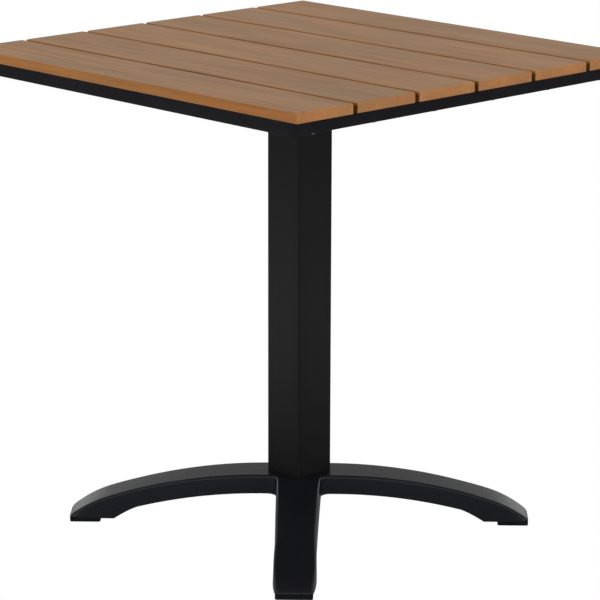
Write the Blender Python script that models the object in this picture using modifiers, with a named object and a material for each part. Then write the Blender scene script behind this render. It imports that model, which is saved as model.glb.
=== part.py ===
"""Bistro table: a slatted top on an aluminium frame, a square column and a cast cross base.

Metres, +Z up. The origin is on the floor under the column. The slats run along X, and the
four arms of the base point to the corners of the top.
"""
import math

import bmesh
import bpy
from mathutils import Matrix, Vector

MM = 0.001

# Driving dimensions of the top
TABLE_HEIGHT = 733 * MM
SLAT_LENGTH = 712 * MM
SLAT_THICKNESS = 14.4 * MM
OUTER_SLAT_WIDTH = 106.1 * MM
INNER_SLAT_WIDTH = 112.7 * MM
SLAT_GAP = 6.6 * MM
SLAT_EDGE_RADIUS = 3 * MM
SLAT_EDGE_STEPS = 3
FRAME_INSET_AT_ENDS = 14 * MM
FRAME_INSET_AT_SIDES = 6 * MM
RAIL_HEIGHT = 20.4 * MM
RAIL_WIDTH = 25 * MM
RAIL_WALL = 2 * MM
RAIL_CORNER_SOLID = 5 * MM
DRAIN_RADIUS = 3 * MM
DRAIN_INSET = 50 * MM
FRAME_CORNER_RADIUS = 10 * MM
CROSSBAR_WIDTH = 40 * MM
CROSSBAR_OFFSET = 115 * MM
PLATE_LENGTH = 290 * MM
PLATE_WIDTH = 100 * MM
PLATE_THICKNESS = 6 * MM
PLATE_CORNER_RADIUS = 15 * MM
PLATE_BOLT_OFFSET = 35 * MM

# Driving dimensions of the column
COLUMN_SIDE = 70 * MM
COLUMN_CORNER_RADIUS = 4 * MM
COLUMN_WALL = 3 * MM
PORT_OFFSET = 25 * MM
PORT_BOSS_RADIUS = 7.5 * MM
PORT_STEPS = 6

# Driving dimensions of the base
HUB_TOP = 79.9 * MM
ARM_REACH = 354 * MM
ARM_HALF_WIDTH_AT_HUB = 35.5 * MM
ARM_HALF_WIDTH_AT_HEEL = 30.9 * MM
FOOT_FLARE = 0.9 * MM
ARM_DEPTH = 29.2 * MM
ARM_EDGE_RADIUS = 4 * MM
TIP_EDGE_RADIUS = 1.6 * MM
TIP_CORNER_RADIUS = 8 * MM
TOE_START = 300 * MM
TOE_RADIUS = 320 * MM
ARM_FILLET_RADIUS = 16 * MM
WALL_DRAFT = 1 * MM
SEAT_REACH = 54 * MM
ARCH_RADIUS = 780 * MM
NOSE_START = 292 * MM
NOSE_RADIUS = 190 * MM
HEEL_START = 245 * MM
HEEL_END = 285 * MM
HEEL_CURVE = 1.3
CASTING_WALL = 5 * MM
POCKET_ROOF_STEPS = 4
FILLET_STEPS = 4
CORNER_STEPS = 3
EDGE_STEPS = 3
RIB_THICKNESS = 4.5 * MM
POCKET_SPANS = ((56 * MM, 118 * MM), (123 * MM, 187 * MM), (192 * MM, 254 * MM))
HUB_BOSS_DEPTH = 18 * MM
HUB_CORE_RADIUS = 15 * MM

# Driving dimensions of the levelling feet
PAD_LENGTH = 47 * MM
PAD_WIDTH = 54.8 * MM
PAD_HEIGHT = 6.7 * MM
PAD_CORNER_RADIUS = 3 * MM
PAD_CHAMFER = 0.5 * MM
PAD_REACH = 330 * MM
PAD_FLOOR = 1.6 * MM
PAD_LIP = 1.1 * MM
PEG_RADIUS = 3 * MM
PEG_OFFSET = 17 * MM
PEG_LENGTH = 10 * MM
FOOT_SCREW_RADIUS = 4 * MM
FOOT_SCREW_LENGTH = 14 * MM
FOOT_HEAD_RADIUS = 7 * MM
FOOT_NECK_RADIUS = 6 * MM
FOOT_KEY_RADIUS = 3 * MM

# Fasteners
SLAT_SCREW_RADIUS = 2 * MM
SLAT_SCREW_HEAD_RADIUS = 4.5 * MM
SLAT_SCREW_HEAD_HEIGHT = 2.8 * MM
SLAT_SCREW_BITE = 11 * MM
SLAT_SCREW_TAPER = 3 * MM
BOLT_RADIUS = 4 * MM
BOLT_HEAD_RADIUS = 7 * MM
BOLT_HEAD_HEIGHT = 5 * MM
PLATE_BOLT_REACH = 12 * MM
COLUMN_SCREW_GRIP = 28 * MM
SCREW_CHAMFER = 1 * MM

# Gap kept between touching pieces, and the clearance round a screw in its hole
GAP = 0.3 * MM
HOLE_CLEARANCE = 0.3 * MM
OVERSHOOT = 2 * MM
CUTTER_OVERLAP = 1 * MM
SCREW_SIDES = 8
SMALL_ROUND = 10
LARGE_ROUND = 14
MERGE_DISTANCE = 0.01 * MM

# Heights and sizes that follow from the driving dimensions
SLAT_BOTTOM = TABLE_HEIGHT - SLAT_THICKNESS
RAIL_TOP = SLAT_BOTTOM - GAP
RAIL_BOTTOM = RAIL_TOP - RAIL_HEIGHT
PLATE_TOP = RAIL_BOTTOM - GAP
PLATE_BOTTOM = PLATE_TOP - PLATE_THICKNESS
COLUMN_TOP = PLATE_BOTTOM - GAP
COLUMN_BOTTOM = HUB_TOP + GAP
TIP_UNDERSIDE = PAD_HEIGHT + GAP
SLAT_WIDTHS = (OUTER_SLAT_WIDTH,) + 4 * (INNER_SLAT_WIDTH,) + (OUTER_SLAT_WIDTH,)
TOP_WIDTH = sum(SLAT_WIDTHS) + 5 * SLAT_GAP
FRAME_LENGTH = SLAT_LENGTH - 2 * FRAME_INSET_AT_ENDS
FRAME_WIDTH = TOP_WIDTH - 2 * FRAME_INSET_AT_SIDES
END_RAIL_CENTRE = FRAME_LENGTH / 2 - RAIL_WIDTH / 2
SCREW_ROWS = (-END_RAIL_CENTRE, -CROSSBAR_OFFSET, CROSSBAR_OFFSET, END_RAIL_CENTRE)
CORNERS = ((1, 1), (-1, 1), (-1, -1), (1, -1))


def clear_scene():
    """Remove every object of the open scene."""
    for obj in list(bpy.data.objects):
        bpy.data.objects.remove(obj, do_unlink=True)


def new_collection(name):
    """Make a collection in the scene."""
    collection = bpy.data.collections.new(name)
    bpy.context.scene.collection.children.link(collection)
    return collection


def new_material(name, color, roughness, metallic):
    """Make a Principled material."""
    material = bpy.data.materials.new(name)
    material.use_nodes = True
    shader = material.node_tree.nodes["Principled BSDF"]
    shader.inputs["Base Color"].default_value = (*color, 1)
    shader.inputs["Roughness"].default_value = roughness
    shader.inputs["Metallic"].default_value = metallic
    return material


clear_scene()
PARTS = new_collection("bistro_table")
CUTTERS = new_collection("bistro_table_cutters")
WOOD_LOOK = new_material("wood_look_slat", (0.33, 0.19, 0.09), 0.55, 0.0)
BLACK_COAT = new_material("black_powder_coat", (0.018, 0.018, 0.021), 0.5, 0.0)
CAST_COAT = new_material("black_cast_coat", (0.022, 0.023, 0.026), 0.45, 0.0)
PLASTIC = new_material("black_plastic", (0.012, 0.012, 0.013), 0.6, 0.0)
ZINC = new_material("zinc_steel", (0.55, 0.55, 0.56), 0.35, 1.0)


def new_object(name, mesh, material, location=(0, 0, 0)):
    """Link a mesh as a part of the table."""
    obj = bpy.data.objects.new(name, mesh)
    obj.location = location
    mesh.materials.append(material)
    PARTS.objects.link(obj)
    return obj


def mesh_from(fill):
    """Make a mesh with a function that fills a BMesh, its faces turned outwards."""
    bm = bmesh.new()
    fill(bm)
    bmesh.ops.recalc_face_normals(bm, faces=bm.faces)
    mesh = bpy.data.meshes.new("solid")
    bm.to_mesh(mesh)
    bm.free()
    return mesh


def prism(loops, depth, matrix):
    """Extrude a flat outline, with the holes in it, and return the welded mesh."""
    curve = bpy.data.curves.new("outline", "CURVE")
    curve.dimensions = "2D"
    curve.fill_mode = "BOTH"
    curve.extrude = depth / 2
    for loop in loops:
        spline = curve.splines.new("POLY")
        spline.points.add(len(loop) - 1)
        for point, (x, y) in zip(spline.points, loop):
            point.co = (x, y, 0, 1)
        spline.use_cyclic_u = True
    outline = bpy.data.objects.new("outline", curve)
    bpy.context.scene.collection.objects.link(outline)
    evaluated = outline.evaluated_get(bpy.context.evaluated_depsgraph_get())
    mesh = bpy.data.meshes.new_from_object(evaluated)
    bpy.data.objects.remove(outline, do_unlink=True)

    def weld(bm):
        bm.from_mesh(mesh)
        bmesh.ops.remove_doubles(bm, verts=bm.verts, dist=MERGE_DISTANCE)
        bmesh.ops.transform(bm, matrix=matrix, verts=bm.verts)

    return mesh_from(weld)


def flat_prism(loops, bottom, top):
    """Extrude an outline in the XY plane between two heights."""
    return prism(loops, top - bottom, Matrix.Translation((0, 0, (bottom + top) / 2)))


def add_box(bm, low, high):
    """Add a box between two corners."""
    low, high = Vector(low), Vector(high)
    matrix = Matrix.Translation((low + high) / 2) @ Matrix.Diagonal((*(high - low), 1))
    return bmesh.ops.create_cube(bm, size=1, matrix=matrix)["verts"]


def add_cylinder(bm, x, y, bottom, top, radius, segments=SMALL_ROUND):
    """Add an upright cylinder."""
    matrix = Matrix.Translation((x, y, (bottom + top) / 2))
    bmesh.ops.create_cone(
        bm, cap_ends=True, segments=segments, radius1=radius, radius2=radius,
        depth=top - bottom, matrix=matrix,
    )


def cut(obj, name, mesh):
    """Cut a mesh out of a part."""
    cutter = bpy.data.objects.new(name, mesh)
    cutter.hide_render = True
    cutter.display_type = "WIRE"
    cutter.location = obj.location
    CUTTERS.objects.link(cutter)
    boolean = obj.modifiers.new(name, "BOOLEAN")
    boolean.operation = "DIFFERENCE"
    boolean.object = cutter


def cylinders(places, bottom, top, radius, segments=SMALL_ROUND):
    """Return a mesh of upright cylinders at the given places."""
    def fill(bm):
        for x, y in places:
            add_cylinder(bm, x, y, bottom, top, radius, segments)

    return mesh_from(fill)


def arc(centre, radius, start, end, steps):
    """Return the points of an arc between two angles in degrees."""
    points = []
    for step in range(steps + 1):
        angle = math.radians(start + (end - start) * step / steps)
        points.append((centre[0] + radius * math.cos(angle), centre[1] + radius * math.sin(angle)))
    return points


def rounded_rectangle(length, width, radius, steps=CORNER_STEPS):
    """Return the outline of a rectangle with round corners, centred on the origin."""
    points = []
    for turn, (sx, sy) in enumerate(CORNERS):
        centre = (sx * (length / 2 - radius), sy * (width / 2 - radius))
        points += arc(centre, radius, 90 * turn, 90 * turn + 90, steps)
    return points


def circle(centre, radius, segments=SMALL_ROUND):
    """Return the points of a circle."""
    return arc(centre, radius, 0, 360, segments)[:-1]


def turned(name, profile, material, location, steps=SMALL_ROUND):
    """Turn a profile about Z: it runs down its outer side, from the top to the bottom."""
    def fill(bm):
        verts = [bm.verts.new((radius, 0, height)) for radius, height in profile]
        for upper, lower in zip(verts, verts[1:]):
            bm.edges.new((upper, lower))

    obj = new_object(name, mesh_from(fill), material, location)
    screw = obj.modifiers.new("turn", "SCREW")
    screw.steps = steps
    screw.render_steps = steps
    screw.use_merge_vertices = True
    screw.merge_threshold = MERGE_DISTANCE
    return obj


# Top: slats and frame

def slat_centres():
    """Return the middle of each slat across the top."""
    centres = []
    edge = -TOP_WIDTH / 2
    for width in SLAT_WIDTHS:
        centres.append(edge + width / 2)
        edge += width + SLAT_GAP
    return centres


def make_slats():
    """Make the slats, with a blind pilot hole over each support."""
    pilot_top = SLAT_BOTTOM + SLAT_SCREW_BITE + GAP
    for number, (centre, width) in enumerate(zip(slat_centres(), SLAT_WIDTHS), start=1):
        def fill(bm, width=width):
            low = (-SLAT_LENGTH / 2, -width / 2, SLAT_BOTTOM)
            high = (SLAT_LENGTH / 2, width / 2, TABLE_HEIGHT)
            add_box(bm, low, high)
            middle = (SLAT_BOTTOM + TABLE_HEIGHT) / 2
            rounded = [e for e in bm.edges if max(v.co.z for v in e.verts) > middle]
            bmesh.ops.bevel(
                bm, geom=rounded, offset=SLAT_EDGE_RADIUS, segments=SLAT_EDGE_STEPS, profile=0.5,
                affect="EDGES",
            )

        slat = new_object(f"slat_{number}", mesh_from(fill), WOOD_LOOK, (0, centre, 0))
        places = [(x, 0) for x in SCREW_ROWS]
        pilots = cylinders(
            places, SLAT_BOTTOM - OVERSHOOT, pilot_top, SLAT_SCREW_RADIUS + HOLE_CLEARANCE
        )
        cut(slat, f"slat_{number}_pilots", pilots)


def rail_outline(length):
    """Return the plan of one mitred rail along X, its outer side at Y = 0 and the frame at +Y."""
    radius = FRAME_CORNER_RADIUS
    slip = math.degrees(math.asin(GAP / 2 / radius))
    inner = length / 2 - RAIL_WIDTH - GAP / math.sqrt(2)
    left = arc((radius - length / 2, radius), radius, 225 + slip, 270, CORNER_STEPS)
    right = arc((length / 2 - radius, radius), radius, 270, 315 - slip, CORNER_STEPS)
    return left + right + [(inner, RAIL_WIDTH), (-inner, RAIL_WIDTH)]


def slat_screw_holes(places):
    """Return the cutters of the slat screws' holes through a support."""
    radius = SLAT_SCREW_RADIUS + HOLE_CLEARANCE
    return cylinders(places, RAIL_BOTTOM - OVERSHOOT, RAIL_TOP + OVERSHOOT, radius)


def make_rail(name, length, distance, angle, screw_places):
    """Make one hollow rail of the frame, its welded corners solid, with drain holes below."""
    turn = Matrix.Rotation(math.radians(angle), 4, "Z") @ Matrix.Translation((0, -distance, 0))
    middle = Matrix.Translation((0, 0, (RAIL_BOTTOM + RAIL_TOP) / 2))
    body = prism([rail_outline(length)], RAIL_HEIGHT, turn @ middle)
    rail = new_object(name, body, BLACK_COAT)
    hollow_end = length / 2 - RAIL_WIDTH - RAIL_CORNER_SOLID

    def hollow(bm):
        low = (-hollow_end, RAIL_WALL, RAIL_BOTTOM + RAIL_WALL)
        high = (hollow_end, RAIL_WIDTH - RAIL_WALL, RAIL_TOP - RAIL_WALL)
        bmesh.ops.transform(bm, matrix=turn, verts=add_box(bm, low, high))

    cut(rail, f"{name}_hollow", mesh_from(hollow))
    drain = hollow_end - DRAIN_INSET
    drains = [(turn @ Vector((x, RAIL_WIDTH / 2, 0))).xy for x in (-drain, drain)]
    drain_top = RAIL_BOTTOM + 2 * RAIL_WALL
    cut(rail, f"{name}_drains", cylinders(drains, RAIL_BOTTOM - OVERSHOOT, drain_top, DRAIN_RADIUS))
    if screw_places:
        cut(rail, f"{name}_screw_holes", slat_screw_holes(screw_places))


def make_frame():
    """Make the four mitred rails under the edge of the top."""
    make_rail("side_rail_front", FRAME_LENGTH, FRAME_WIDTH / 2, 0, [])
    make_rail("side_rail_back", FRAME_LENGTH, FRAME_WIDTH / 2, 180, [])
    for name, sign in (("end_rail_right", 1), ("end_rail_left", -1)):
        places = [(sign * END_RAIL_CENTRE, y) for y in slat_centres()]
        make_rail(name, FRAME_WIDTH, FRAME_LENGTH / 2, 90 * sign, places)


def make_crossbars():
    """Make the two open tubes that carry the slats between the side rails."""
    half = FRAME_WIDTH / 2 - RAIL_WIDTH - GAP
    for name, sign in (("crossbar_right", 1), ("crossbar_left", -1)):
        x = sign * CROSSBAR_OFFSET

        def tube(bm, x=x):
            low = (x - CROSSBAR_WIDTH / 2, -half, RAIL_BOTTOM)
            add_box(bm, low, (x + CROSSBAR_WIDTH / 2, half, RAIL_TOP))

        def hollow(bm, x=x):
            inner = CROSSBAR_WIDTH / 2 - RAIL_WALL
            low = (x - inner, -half - OVERSHOOT, RAIL_BOTTOM + RAIL_WALL)
            add_box(bm, low, (x + inner, half + OVERSHOOT, RAIL_TOP - RAIL_WALL))

        bar = new_object(name, mesh_from(tube), BLACK_COAT)
        cut(bar, f"{name}_hollow", mesh_from(hollow))
        cut(bar, f"{name}_screw_holes", slat_screw_holes([(x, y) for y in slat_centres()]))
        bolts = [(x, y) for y in (-PLATE_BOLT_OFFSET, PLATE_BOLT_OFFSET)]
        radius = BOLT_RADIUS + HOLE_CLEARANCE
        bolt_holes = cylinders(bolts, RAIL_BOTTOM - OVERSHOOT, RAIL_BOTTOM + 2 * RAIL_WALL, radius)
        cut(bar, f"{name}_bolt_holes", bolt_holes)


def make_plate():
    """Make the mounting plate between the crossbars and the column."""
    outline = rounded_rectangle(PLATE_LENGTH, PLATE_WIDTH, PLATE_CORNER_RADIUS)
    hole = BOLT_RADIUS + HOLE_CLEARANCE
    holes = [circle((sx * PORT_OFFSET, sy * PORT_OFFSET), hole) for sx, sy in CORNERS]
    holes += [circle((sx * CROSSBAR_OFFSET, sy * PLATE_BOLT_OFFSET), hole) for sx, sy in CORNERS]
    new_object("mounting_plate", flat_prism([outline] + holes, PLATE_BOTTOM, PLATE_TOP), BLACK_COAT)


# Column

def column_bore():
    """Return the inside outline of the column: a square that bends round four screw ports."""
    half = COLUMN_SIDE / 2 - COLUMN_WALL
    meet = math.degrees(math.acos((half - PORT_OFFSET) / PORT_BOSS_RADIUS))
    points = []
    for turn, (sx, sy) in enumerate(CORNERS):
        centre = (sx * PORT_OFFSET, sy * PORT_OFFSET)
        points += arc(centre, PORT_BOSS_RADIUS, 90 * turn - meet, 90 * turn - 270 + meet, PORT_STEPS)
    return points


def make_column():
    """Make the extruded column with a screw port in each corner."""
    outline = rounded_rectangle(COLUMN_SIDE, COLUMN_SIDE, COLUMN_CORNER_RADIUS)
    hole = BOLT_RADIUS + HOLE_CLEARANCE
    ports = [circle((sx * PORT_OFFSET, sy * PORT_OFFSET), hole) for sx, sy in CORNERS]
    body = flat_prism([outline, column_bore()] + ports, COLUMN_BOTTOM, COLUMN_TOP)
    new_object("column", body, BLACK_COAT)


# Base casting. An arm is worked out in its own frame: reach runs along it, side across it.

def crown_height(reach):
    """Return the height of the top of an arm: a flat seat, a long arch, then a rounder nose."""
    if reach <= SEAT_REACH:
        return HUB_TOP
    if reach <= NOSE_START:
        return HUB_TOP - ARCH_RADIUS + math.sqrt(ARCH_RADIUS ** 2 - (reach - SEAT_REACH) ** 2)
    slope = math.asin((NOSE_START - SEAT_REACH) / ARCH_RADIUS)
    centre_reach = NOSE_START - NOSE_RADIUS * math.sin(slope)
    centre_height = crown_height(NOSE_START) - NOSE_RADIUS * math.cos(slope)
    return centre_height + math.sqrt(NOSE_RADIUS ** 2 - (reach - centre_reach) ** 2)


def underside_height(reach):
    """Return the height of the underside: it follows the arch, then steps down to the foot."""
    if reach <= HEEL_START:
        return crown_height(reach) - ARM_DEPTH
    heel_top = crown_height(HEEL_START) - ARM_DEPTH
    along = min((reach - HEEL_START) / (HEEL_END - HEEL_START), 1)
    return heel_top + (TIP_UNDERSIDE - heel_top) * along ** HEEL_CURVE


def half_width(reach):
    """Return half the width of an arm: a taper to the heel, a slight flare, then a round toe."""
    taper = (ARM_HALF_WIDTH_AT_HUB - ARM_HALF_WIDTH_AT_HEEL) * min(reach / HEEL_START, 1)
    flare = FOOT_FLARE * min(max(reach - HEEL_START, 0) / (HEEL_END - HEEL_START), 1)
    along_toe = max(reach - TOE_START, 0)
    toe = TOE_RADIUS - math.sqrt(TOE_RADIUS ** 2 - along_toe ** 2)
    return ARM_HALF_WIDTH_AT_HUB - taper + flare - toe


def arm_outline():
    """Return half the plan of an arm, from the fillet at the hub to the corner of the tip.

    Each entry is a point of the outline, its outward normal and the radius of the edge there.
    """
    taper = (ARM_HALF_WIDTH_AT_HUB - ARM_HALF_WIDTH_AT_HEEL) / HEEL_START
    tilt = math.hypot(1, taper)
    lean = math.degrees(math.atan(taper))
    fillet = (half_width(0) - WALL_DRAFT + ARM_FILLET_RADIUS * tilt) / (1 + taper)
    tip = ARM_REACH - WALL_DRAFT
    corner_reach = tip - TIP_CORNER_RADIUS
    corner = (corner_reach, half_width(corner_reach) - WALL_DRAFT - TIP_CORNER_RADIUS)
    entries = []
    for point in arc((fillet, fillet), ARM_FILLET_RADIUS, 225, 270 - lean, FILLET_STEPS):
        normal = (Vector((fillet, fillet)) - Vector(point)).normalized()
        entries.append((Vector(point), normal, ARM_EDGE_RADIUS))
    for reach in side_stations(entries[-1][0].x, corner[0]):
        point = Vector((reach, half_width(reach) - WALL_DRAFT))
        entries.append((point, Vector((0, 1)), ARM_EDGE_RADIUS))
    for step, point in enumerate(arc(corner, TIP_CORNER_RADIUS, 90, 0, CORNER_STEPS)):
        normal = (Vector(point) - Vector(corner)).normalized()
        radius = ARM_EDGE_RADIUS + (TIP_EDGE_RADIUS - ARM_EDGE_RADIUS) * step / CORNER_STEPS
        entries.append((Vector(point), normal, radius))
    return entries


def side_stations(start, end):
    """Return the reaches at which an arm's side is divided, between two ends."""
    ends = (start, HEEL_START, HEEL_END, TOE_START, end)
    stations = []
    for low, high, count in zip(ends, ends[1:], (8, 4, 2, 5)):
        stations += [low + (high - low) * step / count for step in range(1, count + 1)]
    return stations[:-1]


def section_column(point, normal, radius):
    """Return the outside of an arm below one outline point: rounded edge, then drafted wall."""
    column = []
    for step in range(EDGE_STEPS + 1):
        angle = math.radians(90 * step / EDGE_STEPS)
        place = point - normal * radius * (1 - math.sin(angle))
        column.append((*place, crown_height(place.x) - radius * (1 - math.cos(angle))))
    foot = point + normal * WALL_DRAFT
    column.append((*foot, underside_height(foot.x)))
    return column


def arm_to_world(reach, side, height):
    """Turn a point of the first arm into the table's frame: the arm lies between +X and +Y."""
    half = math.sqrt(0.5)
    x, y = (reach - side) * half, (reach + side) * half
    return Vector((0 if abs(x) < MERGE_DISTANCE else x, 0 if abs(y) < MERGE_DISTANCE else y, height))


def fill_arm(bm):
    """Build the arm between +X and +Y, open where it meets the planes X = 0 and Y = 0."""
    outline = arm_outline()
    columns = [section_column(*entry) for entry in outline]
    spine_top = []
    spine_bottom = []
    for number, column in enumerate(columns):
        share = min(number / FILLET_STEPS, 1)
        top_reach, bottom_reach = column[0][0] * share, column[-1][0] * share
        spine_top.append(bm.verts.new(arm_to_world(top_reach, 0, crown_height(top_reach))))
        bottom = arm_to_world(bottom_reach, 0, underside_height(bottom_reach))
        spine_bottom.append(bm.verts.new(bottom))
    tip_point, _, tip_radius = outline[-1]
    tip_column = section_column(Vector((tip_point.x, 0)), Vector((1, 0)), tip_radius)
    tip = [bm.verts.new(arm_to_world(*place)) for place in tip_column[1:-1]]
    tip = [spine_top[-1]] + tip + [spine_bottom[-1]]
    for side in (1, -1):
        edge = []
        for column in columns:
            places = [arm_to_world(reach, side * across, height) for reach, across, height in column]
            edge.append([bm.verts.new(place) for place in places])
        for left, right in zip(edge, edge[1:] + [tip]):
            for upper in range(len(left) - 1):
                bm.faces.new((left[upper], left[upper + 1], right[upper + 1], right[upper]))
        for near in range(len(columns) - 1):
            far = near + 1
            bm.faces.new((spine_top[near], spine_top[far], edge[far][0], edge[near][0]))
            bm.faces.new((spine_bottom[near], spine_bottom[far], edge[far][-1], edge[near][-1]))


def arm_matrix(quarter):
    """Return the matrix that stands a side view (reach, height) up along one of the arms."""
    turn = Matrix.Rotation(math.radians(45 + 90 * quarter), 4, "Z")
    return turn @ Matrix.Rotation(math.radians(90), 4, "X")


def fill_pockets(bm):
    """Build the hollows under the arms: two rows in each arm, with a rib along its middle."""
    for start, end in POCKET_SPANS:
        pitch = (end - start) / POCKET_ROOF_STEPS
        reaches = [start + pitch * step for step in range(POCKET_ROOF_STEPS + 1)]
        roof = [(reach, crown_height(reach) - CASTING_WALL) for reach in reversed(reaches)]
        outline = [(start, 0), (end, 0)] + roof
        inner = RIB_THICKNESS / 2
        outer = half_width(end) - WALL_DRAFT - CASTING_WALL
        for quarter in range(4):
            for side in (1, -1):
                shift = Matrix.Translation((0, 0, side * (inner + outer) / 2))
                bm.from_mesh(prism([outline], outer - inner, arm_matrix(quarter) @ shift))


def on_arms(reach, side=0):
    """Return the places at one reach and side of all four arms."""
    places = []
    for quarter in range(4):
        turn = Matrix.Rotation(math.radians(45 + 90 * quarter), 2)
        places.append(turn @ Vector((reach, side)))
    return places


def make_base():
    """Make the cast base: one quarter mirrored twice, then pockets, bores and foot holes."""
    base = new_object("cross_base", mesh_from(fill_arm), CAST_COAT)
    mirror = base.modifiers.new("quarters", "MIRROR")
    mirror.use_axis = (True, True, False)
    mirror.merge_threshold = MERGE_DISTANCE
    cut(base, "base_pockets", mesh_from(fill_pockets))
    ports = [(sx * PORT_OFFSET, sy * PORT_OFFSET) for sx, sy in CORNERS]
    boss_bottom = HUB_TOP - HUB_BOSS_DEPTH
    seats = cylinders(ports, 0, boss_bottom, BOLT_HEAD_RADIUS + OVERSHOOT, LARGE_ROUND)
    cut(base, "base_screw_seats", seats)
    bores = cylinders(ports, 0, HUB_TOP + OVERSHOOT, BOLT_RADIUS + HOLE_CLEARANCE)
    cut(base, "base_screw_bores", bores)
    cut(base, "base_core", cylinders([(0, 0)], 0, boss_bottom, HUB_CORE_RADIUS, LARGE_ROUND))
    screw_top = TIP_UNDERSIDE + FOOT_SCREW_LENGTH + GAP
    thread_radius = FOOT_SCREW_RADIUS + HOLE_CLEARANCE
    cut(base, "base_foot_threads", cylinders(on_arms(PAD_REACH), 0, screw_top, thread_radius))
    peg_top = PAD_HEIGHT + PEG_LENGTH + GAP
    pegs = on_arms(PAD_REACH, PEG_OFFSET) + on_arms(PAD_REACH, -PEG_OFFSET)
    cut(base, "base_peg_holes", cylinders(pegs, 0, peg_top, PEG_RADIUS + HOLE_CLEARANCE))


# Levelling feet

def make_pad(number, quarter):
    """Make a foot pad: a block with two guide pegs and a chamber that holds the screw's head."""
    def fill(bm):
        outline = rounded_rectangle(PAD_LENGTH, PAD_WIDTH, PAD_CORNER_RADIUS)
        bm.from_mesh(flat_prism([outline], 0, PAD_HEIGHT))
        bottom_edges = [e for e in bm.edges if all(v.co.z < MERGE_DISTANCE for v in e.verts)]
        rim = [e for e in bottom_edges if len({round(f.normal.z) for f in e.link_faces}) > 1]
        bmesh.ops.bevel(bm, geom=rim, offset=PAD_CHAMFER, segments=1, profile=0.5, affect="EDGES")

    place = (*on_arms(PAD_REACH)[quarter], 0)
    pad = new_object(f"foot_pad_{number}", mesh_from(fill), PLASTIC, place)
    pad.rotation_euler.z = math.radians(45 + 90 * quarter)
    peg_places = [(0, PEG_OFFSET), (0, -PEG_OFFSET)]
    peg_mesh = cylinders(peg_places, PAD_HEIGHT / 2, PAD_HEIGHT + PEG_LENGTH, PEG_RADIUS)
    pegs = bpy.data.objects.new(f"foot_pegs_{number}", peg_mesh)
    pegs.hide_render = True
    pegs.display_type = "WIRE"
    pegs.location = pad.location
    pegs.rotation_euler = pad.rotation_euler
    CUTTERS.objects.link(pegs)
    join = pad.modifiers.new("pegs", "BOOLEAN")
    join.operation = "UNION"
    join.object = pegs
    chamber_top = PAD_HEIGHT - PAD_LIP
    middle = [(0, 0)]
    inside = PAD_FLOOR + CUTTER_OVERLAP
    key_hole = cylinders(middle, -OVERSHOOT, inside, FOOT_KEY_RADIUS)
    cut(pad, f"foot_key_hole_{number}", key_hole)
    chamber_radius = FOOT_HEAD_RADIUS + HOLE_CLEARANCE
    chamber = cylinders(middle, PAD_FLOOR, chamber_top, chamber_radius, LARGE_ROUND)
    cut(pad, f"foot_chamber_{number}", chamber)
    neck = cylinders(middle, inside, PAD_HEIGHT + OVERSHOOT, FOOT_NECK_RADIUS, LARGE_ROUND)
    cut(pad, f"foot_neck_{number}", neck)


def make_foot_screw(number, quarter):
    """Make a levelling screw: its head turns in the pad, its thread in the arm."""
    head_bottom = PAD_FLOOR + GAP
    head_top = PAD_HEIGHT - PAD_LIP - GAP
    top = TIP_UNDERSIDE + FOOT_SCREW_LENGTH
    profile = [
        (0, top), (FOOT_SCREW_RADIUS - SCREW_CHAMFER, top),
        (FOOT_SCREW_RADIUS, top - SCREW_CHAMFER),
        (FOOT_SCREW_RADIUS, head_top), (FOOT_HEAD_RADIUS, head_top),
        (FOOT_HEAD_RADIUS, head_bottom), (0, head_bottom),
    ]
    turned(f"foot_screw_{number}", profile, ZINC, (*on_arms(PAD_REACH)[quarter], 0))


# Fasteners

def make_slat_screws():
    """Make the pan-head screws that come up through the supports into the slats."""
    head_top = RAIL_BOTTOM - GAP
    profile = [
        (0, SLAT_BOTTOM + SLAT_SCREW_BITE),
        (SLAT_SCREW_RADIUS, SLAT_BOTTOM + SLAT_SCREW_BITE - SLAT_SCREW_TAPER),
        (SLAT_SCREW_RADIUS, head_top),
        (SLAT_SCREW_HEAD_RADIUS, head_top),
        (SLAT_SCREW_HEAD_RADIUS - SCREW_CHAMFER, head_top - SLAT_SCREW_HEAD_HEIGHT),
        (0, head_top - SLAT_SCREW_HEAD_HEIGHT),
    ]
    for slat, y in enumerate(slat_centres(), start=1):
        for row, x in enumerate(SCREW_ROWS, start=1):
            turned(f"slat_screw_{slat}_{row}", profile, ZINC, (x, y, 0), SCREW_SIDES)


def bolt_profile(tip, seat, upward):
    """Return a bolt's profile between its tip and the underside of its head."""
    chamfer = SCREW_CHAMFER if upward else -SCREW_CHAMFER
    head_end = seat - BOLT_HEAD_HEIGHT if upward else seat + BOLT_HEAD_HEIGHT
    profile = [
        (0, tip), (BOLT_RADIUS - SCREW_CHAMFER, tip), (BOLT_RADIUS, tip - chamfer), (BOLT_RADIUS, seat),
        (BOLT_HEAD_RADIUS, seat), (BOLT_HEAD_RADIUS, head_end), (0, head_end),
    ]
    return profile if upward else profile[::-1]


def make_bolts():
    """Make the bolts of the mounting plate, the column and the base."""
    plate = bolt_profile(RAIL_BOTTOM + PLATE_BOLT_REACH, PLATE_BOTTOM - GAP, True)
    column = bolt_profile(COLUMN_TOP - COLUMN_SCREW_GRIP, PLATE_TOP + GAP, False)
    base = bolt_profile(COLUMN_BOTTOM + COLUMN_SCREW_GRIP, HUB_TOP - HUB_BOSS_DEPTH - GAP, True)
    for number, (sx, sy) in enumerate(CORNERS, start=1):
        turned(f"plate_bolt_{number}", plate, ZINC, (sx * CROSSBAR_OFFSET, sy * PLATE_BOLT_OFFSET, 0))
        port = (sx * PORT_OFFSET, sy * PORT_OFFSET, 0)
        turned(f"column_screw_{number}", column, ZINC, port)
        turned(f"base_screw_{number}", base, ZINC, port)


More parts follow.
